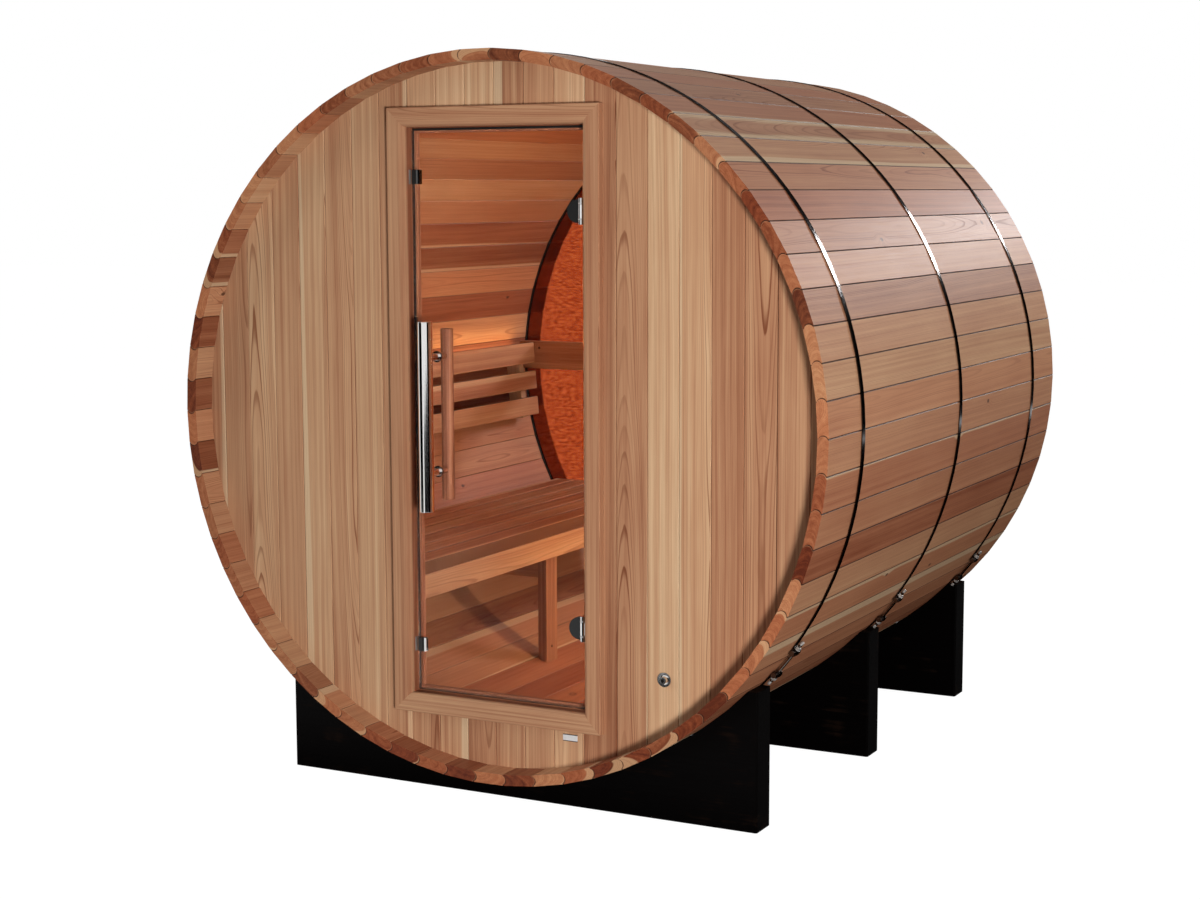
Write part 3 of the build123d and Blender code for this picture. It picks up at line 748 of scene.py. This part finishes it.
def chrome_finish():
    made, wires, shader = new_finish("chrome", Metallic=1.0)
    shader["Base Color"].default_value = (0.78, 0.77, 0.76, 1.0)
    place = wires.place()
    wipe = wires.stretched(place, (20, 20, 6), 3.0)
    scratch = wires.stretched(place, (400, 400, 30))
    wires.feed(shader["Roughness"], wires.plus(wires.scaled(wipe, 0.07, 0.05),
                                               wires.scaled(scratch, 0.02)))
    return made


chrome = chrome_finish()
dress(hinge_finish(), "hinge_clamps")
dress(chrome, "hinge_leaves")
collars = [
    turned((*pivot, middle + side * collar_drop), (0, 0, 1), collar_radius, collar_thickness,
           round_sides, collar_edge)
    for middle in hinge_middles for side in (-1, 1)]
collars = join("hinge_collars", collars)
collars.data.materials.append(chrome)
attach(collars, "door")


# Catches. A bright plate on the jamb, and on the free edge of the glass a bright clip with a
# black magnet block.
magnet_back = -0.86895


def catch_finish():
    made, wires, shader = new_finish("catch_clips")
    x, y, z = wires.place()
    magnet = wires.math("LESS_THAN", y, magnet_back)
    wear = wires.noise(wires.at(x, y, z), 300.0, 2.0)
    wires.feed(shader["Base Color"], wires.mix(magnet, swatch(206, 204, 202), swatch(14, 13, 13)))
    wires.feed(shader["Metallic"], wires.minus(1.0, magnet))
    wires.feed(shader["Roughness"], wires.plus(wires.scaled(wear, 0.10, 0.06),
                                               wires.scaled(magnet, 0.30)))
    return made


dress(satin_steel, "catch_plates")
dress(catch_finish(), "catch_clips")


# Handle. Outside, a polished steel tube on two standoffs; inside, a turned cedar grip on wooden
# spacers. Bolts through the glass hold the two together.
grip_radius, grip_sides, grip_edge = 0.0162, 64, 0.0025
cap_thickness, cap_proud, cap_overlap, cap_edge = 0.003, 0.0006, 0.0001, 0.0012
standoff_ring_radius = 0.014
outer_gasket_radius, inner_gasket_radius = 0.0146, 0.0108
gasket_thickness, gasket_edge = 0.0016, 0.0004
tube_sides = 48
dress(chrome, "handle_tube", "handle_standoffs")


def turned_finish(node, number):
    made, wires, shader = new_finish("grip_wood", Specular_IOR_Level=0.3)
    low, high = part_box(node)
    x, y, z = wires.place()
    across = wires.minus(x, (low.x + high.x) / 2)
    depth = wires.minus(y, (low.y + high.y) / 2)
    lay_timber(wires, shader, z, across, depth, number, {
        "Tone": 0.20, "Spread": 0.0, "Ring Width": 0.0022, "Ring Strength": 0.5, "Knots": 0.0})
    return made


grip_wood = turned_finish("handle_grip", 91.0)
dress(grip_wood, "grip_spacers")
grip_low, grip_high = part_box("handle_grip")
grip_middle = (grip_low + grip_high) / 2
grip = turned((grip_middle.x, grip_low.y + grip_radius, grip_middle.z), (0, 0, 1), grip_radius,
              grip_high.z - grip_low.z, grip_sides, grip_edge, steps=4)
grip.name = "turned_grip"
grip.data.materials.append(grip_wood)
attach(grip, "door")
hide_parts("handle_grip")

tube_low, tube_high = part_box("handle_tube")
tube_middle = (tube_low + tube_high) / 2
cap_radius = tube_high.x - tube_middle.x + cap_overlap
cap_ends = (tube_low.z + cap_thickness / 2 - cap_proud, tube_high.z - cap_thickness / 2 + cap_proud)
caps = join("tube_caps", [
    turned((tube_middle.x, tube_middle.y, end), (0, 0, 1), cap_radius, cap_thickness,
           tube_sides, cap_edge)
    for end in cap_ends])
caps.data.materials.append(chrome)
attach(caps, "door")

glass_low, glass_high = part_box("door_glass")
standoff_low, standoff_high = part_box("handle_standoffs")
bolt_heights = (standoff_low.z + standoff_ring_radius, standoff_high.z - standoff_ring_radius)
glass_faces = ((glass_low.y - gasket_thickness / 2, outer_gasket_radius),
               (glass_high.y + gasket_thickness / 2, inner_gasket_radius))
gaskets = join("handle_gaskets", [
    turned((tube_middle.x, face, height), (0, 1, 0), radius, gasket_thickness,
           tube_sides, gasket_edge)
    for height in bolt_heights for face, radius in glass_faces])
gaskets.data.materials.append(rubber)
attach(gaskets, "door")


# Rear window. Two half-round panes of bronze glass with a rippled face stand in a black rubber
# channel in the staves, and meet behind a cedar rail, with a second rail outside.
def bronze_finish():
    made, wires, shader = glass_finish("bronze_glass", swatch(172, 64, 22))
    ripple = wires.stretched(wires.place(), (62, 1, 200), 3.0, 0.6)
    wires.feed(shader["Base Color"], wires.ramp(
        ripple,
        (0.36, swatch(136, 46, 20)),
        (0.50, swatch(166, 62, 28)),
        (0.62, swatch(192, 88, 44))))
    wires.feed(shader["Normal"], wires.bump(ripple, 0.35, 0.004))
    return made


pane_names = ("window_pane_upper", "window_pane_lower")
dress(bronze_finish(), *pane_names)
for pane in pane_names:
    nodes[pane].visible_shadow = False
dress(rubber, "window_channel")
rail_look = {"Tone": 0.46, "Spread": 0.0, "Ring Width": 0.0024, "Ring Strength": 0.4, "Knots": 0.0}
dress_joinery({"window_rail_inside": "X", "window_rail_outside": "X"}, 95, rail_look)


# Bench. Six eased slats lie along the barrel on bearers cut to its curve, behind an apron, with
# one leg at mid length. The cedar is sanded and left bare.
slat_pitch, slat_gap = 0.078, 0.008
highlight_edge, highlight_start = 0.0020, 0.0040


def slat_finish(node, first_edge, pitch, gap, axis, number, look):
    """Boards that lie side by side along one axis, with their grain along the barrel. Their edges
    get a painted highlight, and their sides in the gaps get painted shade.
    """
    made, wires, shader = new_finish(node + "_wood", Specular_IOR_Level=0.25)
    low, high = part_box(node)
    places = dict(zip("XYZ", wires.place()))
    middles = dict(zip("XYZ", (low + high) / 2))
    along = places.pop("Y")
    board, across = wires.boards(places.pop(axis), first_edge, pitch)
    (other, place), = places.items()
    depth = wires.minus(place, middles[other])
    colour = lay_timber(wires, shader, along, across, depth, wires.plus(board, number), look)
    # Painted highlight: a pale band along each slat's edge, where light catches it.
    half_slat = (pitch - gap) / 2
    painted_edge_highlight = wires.between(wires.math("ABSOLUTE", across), half_slat - highlight_start,
                             half_slat - highlight_edge)
    colour = wires.mix(wires.scaled(painted_edge_highlight, 0.40), colour, swatch(228, 176, 130))
    # Painted shade: the slats' sides, down in the gaps, are darkened.
    sideways = wires.math("ABSOLUTE", wires.facing()["XYZ".index(axis)])
    painted_gap_shade = wires.scaled(wires.between(sideways, 0.80, 0.95), 0.75)
    wires.feed(shader["Base Color"], wires.mix(painted_gap_shade, colour, swatch(84, 44, 26), "MULTIPLY"))
    return made


bench_look = {"Tone": 0.56, "Spread": 0.24, "Ring Width": 0.0024, "Ring Strength": 0.5, "Knots": 0.0}
bench_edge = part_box("bench_slats")[0].x - slat_gap / 2
dress(slat_finish("bench_slats", bench_edge, slat_pitch, slat_gap, "X", 301.0, bench_look),
      "bench_slats")
# The apron's timber is paler than the rest of the bench: painted light, for the light that falls on
# its front.
dress_joinery({"bench_apron": "Y"}, 311, {**bench_look, "Tone": 0.72})
dress_joinery({"bench_bearers": "X", "bench_leg": "Z"}, 312, bench_look)


# Backrest. Three eased slats on narrow battens lean back above the bench, and a warm light strip
# lies behind the top slat and washes the staves over it.
back_pitch, back_gap = 0.0875, 0.027
lamp_half_pitch = 0.02
back_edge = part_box("backrest_slats")[0].z - back_gap / 2
dress(slat_finish("backrest_slats", back_edge, back_pitch, back_gap, "Z", 331.0, bench_look),
      "backrest_slats")
dress_joinery({"backrest_battens": "Z"}, 341, {**bench_look, "Tone": 0.34})


def strip_finish():
    made, wires, shader = new_finish("light_strip", Emission_Strength=12.0)
    along = wires.math("PINGPONG", wires.place()[1], lamp_half_pitch)
    lamps = wires.between(along, 0.0, lamp_half_pitch, 0.75, 1.0)
    glow = wires.mix(lamps, swatch(255, 170, 84), swatch(255, 206, 138))
    lens = wires.between(wires.facing()[2], 0.2, 0.6)
    wires.feed(shader["Base Color"], glow)
    wires.feed(shader["Emission Color"], wires.mix(lens, swatch(0, 0, 0), glow))
    return made


dress(strip_finish(), "light_strip")


# Screws. Dark countersunk steel screws, with their heads a hair proud, hold the window rail to
# the staves and the leg to its bearer.
screw_radius, screw_thickness, screw_proud = 0.0042, 0.0024, 0.0005
screw_sides, screw_edge = 16, 0.0006
rail_screw_reach, rail_screw_height = 0.810, axis_height + 0.045
leg_screw_over_foot, leg_screw_under_top = 0.045, 0.030
rail_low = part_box("window_rail_inside")[0]
leg_low, leg_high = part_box("bench_leg")
screw_sink = screw_thickness / 2 - screw_proud
screw_places = [
    ((side * rail_screw_reach, rail_low.y + screw_sink, rail_screw_height), (0, 1, 0))
    for side in (-1, 1)]
screw_places += [
    ((leg_high.x - screw_sink, (leg_low.y + leg_high.y) / 2, height), (1, 0, 0))
    for height in (leg_low.z + leg_screw_over_foot, leg_high.z - leg_screw_under_top)]
screws = join("wood_screws", [
    turned(place, direction, screw_radius, screw_thickness, screw_sides, screw_edge)
    for place, direction in screw_places])
screws.data.materials.append(brushed_finish("screw_steel", swatch(70, 58, 50), 0.30))
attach(screws, "sauna")


# Cable outlet. A spun chrome cap low on the right of the wall, over a sleeve through the boards,
# with a black rubber grommet pressed into its nose.
grommet_radius, grommet_depth, grommet_proud = 0.0049, 0.004, 0.0006
grommet_wall, grommet_sink = 0.0022, 0.0025
dress(chrome, "cable_outlet")

outlet_low, outlet_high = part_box("cable_outlet")
outlet_middle = (outlet_low + outlet_high) / 2
bpy.ops.object.select_all(action="DESELECT")
bpy.ops.mesh.primitive_cylinder_add(
    vertices=32, radius=grommet_radius, depth=grommet_depth, rotation=(math.pi / 2, 0, 0),
    location=(outlet_middle.x, outlet_low.y + grommet_depth / 2 - grommet_proud, outlet_middle.z))
grommet = settle(bpy.context.object)
grommet.name = "outlet_grommet"
bpy.ops.object.mode_set(mode="EDIT")
bpy.ops.mesh.select_mode(type="FACE")
bpy.ops.mesh.select_all(action="DESELECT")
shape = bmesh.from_edit_mesh(grommet.data)
for face in shape.faces:
    face.select_set(face.normal.y < -0.9)
bmesh.update_edit_mesh(grommet.data)
bpy.ops.mesh.inset(thickness=grommet_wall)
bpy.ops.mesh.extrude_region_move(TRANSFORM_OT_translate={"value": (0, grommet_sink, 0)})
bpy.ops.object.mode_set(mode="OBJECT")
grommet.data.materials.append(rubber)
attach(grommet, "sauna")


# Studio. A plain pale floor and a sky that the camera, metal and glass see as white. A key box
# stands low at the right front and a hard box behind the right side, which gives the hoops their
# flash, with a fill over the right side and one at the left.
floor_grey, floor_glow = 0.14, 0.985
sky_light, sky_glow = 0.12, 0.88
bpy.ops.mesh.primitive_plane_add(size=60, location=(0, 0, 0))
floor = bpy.context.object
floor.name = "studio_floor"
floor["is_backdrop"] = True


def seen_rays(wires):
    """1 for the rays that show a backdrop, which are the camera's, reflected and refracted ones."""
    path = wires.node("LightPath").outputs
    either = wires.math("MAXIMUM", path["Is Camera Ray"], path["Is Glossy Ray"])
    either = wires.math("MAXIMUM", either, path["Is Transmission Ray"])
    return wires.times(either, wires.math("LESS_THAN", path["Diffuse Depth"], 0.5))


def floor_finish():
    made, wires, shader = new_finish("studio_floor", Roughness=0.9, Specular_IOR_Level=0.0)
    shader["Base Color"].default_value = (floor_grey, floor_grey, floor_grey, 1.0)
    shader["Emission Color"].default_value = (1.0, 1.0, 1.0, 1.0)
    wires.feed(shader["Emission Strength"], wires.scaled(seen_rays(wires), floor_glow))
    return made


floor.data.materials.append(floor_finish())
sky = bpy.data.worlds.new("studio_sky")
bpy.context.scene.world = sky
sky.use_nodes = True
sky_wires = Finish(sky.node_tree)
background = sky.node_tree.nodes["Background"].inputs
background["Color"].default_value = (1.0, 1.0, 1.0, 1.0)
sky_wires.feed(background["Strength"], sky_wires.scaled(seen_rays(sky_wires), sky_glow, sky_light))


def turn_to(place, target, front):
    """The turn that points this side of an object from its place to the target."""
    return (Vector(target) - Vector(place)).to_track_quat(front, "Y").to_euler()


def new_lamp(name, kind, place, power):
    lamp = bpy.data.lights.new(name, kind)
    lamp.energy = power
    stand = bpy.data.objects.new(name, lamp)
    bpy.context.scene.collection.objects.link(stand)
    stand.location = place
    return lamp, stand


def soft_box(name, place, target, width, height, power, mirrored=False):
    """A light panel, which metal and glass mirror only where that is wanted."""
    lamp, stand = new_lamp(name, "AREA", place, power)
    lamp.shape = "RECTANGLE"
    lamp.size = width
    lamp.size_y = height
    stand.rotation_euler = turn_to(place, target, "-Z")
    stand.visible_glossy = mirrored


soft_box("key_soft_box", (3.6, -5.0, 0.80), (0.0, -0.9, 1.0), 0.8, 0.8, 236.0)
soft_box("side_soft_box", (1.8, 4.2, 2.6), (0.8, -0.2, 1.4), 0.7, 0.7, 55.0, mirrored=True)
soft_box("side_fill", (3.9, 1.8, 4.0), (0.6, 0.0, 1.3), 1.6, 2.2, 42.0)
soft_box("left_fill", (-4.2, -2.4, 2.8), (-0.4, 0.0, 1.0), 2.2, 2.2, 70.0)


# Dark cloths. They hang behind the barrel and round it, where only reflections see them, so that
# bright metal keeps dark bands beside its highlights. A flag in the doorway, which only shadow
# rays see, keeps the key light out of the room.
def dark_cloth(name, place, target, width, height, shades=False):
    bpy.ops.mesh.primitive_plane_add(size=1.0, location=(0, 0, 0))
    cloth = bpy.context.object
    cloth.name = name
    cloth.scale = (width, height, 1.0)
    cloth.location = place
    cloth.rotation_euler = turn_to(place, target, "Z")
    for unseen in ("visible_camera", "visible_diffuse", "visible_transmission"):
        setattr(cloth, unseen, False)
    cloth.visible_glossy = not shades
    cloth.visible_shadow = shades
    black, wires, shader = new_finish(name, Roughness=1.0, Specular_IOR_Level=0.0)
    shader["Base Color"].default_value = swatch(12, 11, 12)
    cloth.data.materials.append(black)
    cloth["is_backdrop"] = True


dark_cloth("back_cloth", (1.0, 7.0, 2.0), (1.0, 0.0, 2.0), 9.0, 6.5)
dark_cloth("floor_cloth", (1.5, 2.5, 0.003), (1.5, 2.5, 1.0), 5.0, 7.0)
dark_cloth("front_cloth", (4.6, -5.6, 0.003), (4.6, -5.6, 1.0), 9.8, 8.4)
dark_cloth("left_cloth", (-3.2, -3.9, 1.5), (-0.2, -0.9, 1.5), 4.0, 3.4)
dark_cloth("right_cloth", (3.7, -1.9, 1.5), (-0.2, -0.9, 1.5), 2.0, 3.4)
dark_cloth("room_flag", (0.0, -0.780, 1.0), (0.0, 1.0, 1.0), 0.66, 1.56, shades=True)


# Room lamps. Two warm lamps stand for the room's own light. The high one gives the walls their
# even glow, and the low one throws the leg's shadow over the floor.
warm = (1.0, 0.68, 0.38)


def room_lamp(name, place, power, radius):
    lamp, stand = new_lamp(name, "POINT", place, power)
    lamp.color = warm
    lamp.shadow_soft_size = radius
    for unseen in ("visible_glossy", "visible_transmission", "visible_camera"):
        setattr(stand, unseen, False)


room_lamp("high_room_lamp", (0.10, 0.0, 1.62), 5.2, 0.10)
room_lamp("low_room_lamp", (0.30, 0.095, 0.58), 8.5, 0.02)


# Camera. It stands at the right of the door, a little above the barrel's middle, and looks
# slightly down at the whole barrel.
camera_place = Vector((2.61331, -5.33885, 1.55365))
camera_turn = 27.47
camera_drop = 7.054
camera_roll = -0.172
lens = bpy.data.cameras.new("camera")
lens.lens = 62.295
lens.sensor_width = 36.0
camera = bpy.data.objects.new("camera", lens)
bpy.context.scene.collection.objects.link(camera)
aim = Matrix.Rotation(math.radians(camera_turn), 4, "Z")
aim = aim @ Matrix.Rotation(math.radians(90 - camera_drop), 4, "X")
aim = aim @ Matrix.Rotation(math.radians(camera_roll), 4, "Z")
camera.matrix_world = Matrix.Translation(camera_place) @ aim
bpy.context.scene.camera = camera
bpy.context.scene.view_settings.view_transform = "Standard"

low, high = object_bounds()
